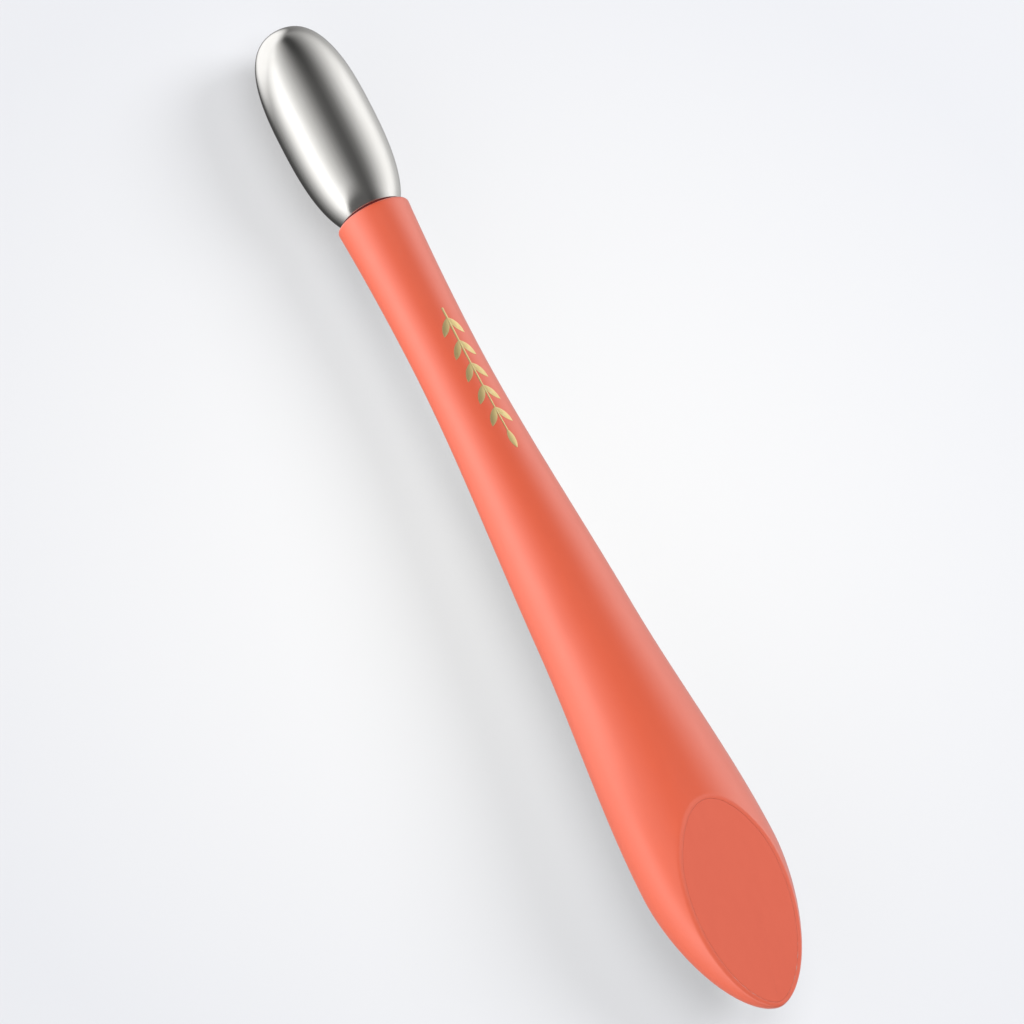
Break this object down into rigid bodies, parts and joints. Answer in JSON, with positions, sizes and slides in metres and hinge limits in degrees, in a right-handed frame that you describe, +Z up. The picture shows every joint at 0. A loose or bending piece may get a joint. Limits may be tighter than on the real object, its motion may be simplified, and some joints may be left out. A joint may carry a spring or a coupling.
{
  "type": "facial massage wand",
  "caption": "Slim skin-care massage wand: polished metal bullet head on a soft-touch coral grip that swells to a slanted oval thumb button, with a vibration motor inside.",
  "frame": {"origin": "on the table under the middle of the wand's bounding box, as the wand lies on its belly and its metal head", "axes": "+X runs along the wand from the metal head to the slanted end, +Z is up, and the slanted face looks up and towards +X"},
  "size_m": [0.15, 0.019, 0.0186],
  "materials": {
    "coral_skin": "satin soft-touch skin",
    "core_plastic": "moulded, matt",
    "polished_head": "mirror polished",
    "steel_stem": "turned",
    "red_seal": "matt silicone",
    "brass_insert": "knurled brass",
    "black_rubber": "matt",
    "motor_steel": "drawn steel",
    "bronze_bush": "sintered bronze",
    "magnet_iron": "sintered, dark",
    "cream_plastic": "moulded",
    "contact_brass": "tinned brass",
    "bright_steel": "ground",
    "copper_winding": "varnished copper wire",
    "weight_metal": "sintered",
    "red_lead": "PVC sleeve",
    "black_lead": "PVC sleeve",
    "dark_plastic": "moulded, fine texture",
    "cell_label": "plain printed foil label",
    "contact_nickel": "nickel plated",
    "board_green": "solder-masked laminate",
    "switch_black": "moulded",
    "coral_pad": "matt soft-touch",
    "gold_foil": "hot-stamped gold foil"
  },
  "bodies": {
    "grip": {"grip_skin": "coral_skin", "massage_head": "polished_head", "gold_sprig": "gold_foil", "core_left": "core_plastic", "core_right": "core_plastic", "head_stem": "steel_stem", "seal_ring": "red_seal", "neck_insert": "brass_insert", "motor_sleeve": "black_rubber", "motor_can": "motor_steel", "motor_bush": "bronze_bush", "motor_magnet": "magnet_iron", "motor_end_cap": "cream_plastic", "motor_terminals": "contact_brass", "lead_red": "red_lead", "lead_black": "black_lead", "cell_carrier": "dark_plastic", "cell_body": "cell_label", "cell_nub": "contact_nickel", "positive_contact": "contact_nickel", "negative_spring": "contact_nickel", "negative_contact": "contact_nickel", "negative_strip": "contact_nickel", "tail_frame": "dark_plastic", "frame_screws": "bright_steel", "switch_board": "board_green", "switch_body": "switch_black"},
    "rotor": {"motor_shaft": "bright_steel", "rotor_winding": "copper_winding", "eccentric_weight": "weight_metal"},
    "button": {"button_core": "core_plastic", "button_pad": "coral_pad"},
    "plunger": {"switch_plunger": "cream_plastic"}
  },
  "joints": [
    {"name": "button_press", "type": "slide", "parent": "grip", "child": "button", "axis": [-0.2896, 0, -0.9571], "range_m": [0, 0.0005], "stiffness_N_per_m": 1500, "springref_m": -0.0005},
    {"name": "plunger_press", "type": "slide", "parent": "grip", "child": "plunger", "axis": [-0.2896, 0, -0.9571], "range_m": [0, 0.0005]},
    {"name": "rotor_spin", "type": "hinge", "parent": "grip", "child": "rotor", "pos_m": [-0.06497, 0, 0.00647], "axis": [0.9997, 0, 0.0256], "continuous": true}
  ],
  "couplings": [
    {"joint": "plunger_press", "follows": "button_press", "ratio": 1}
  ]
}
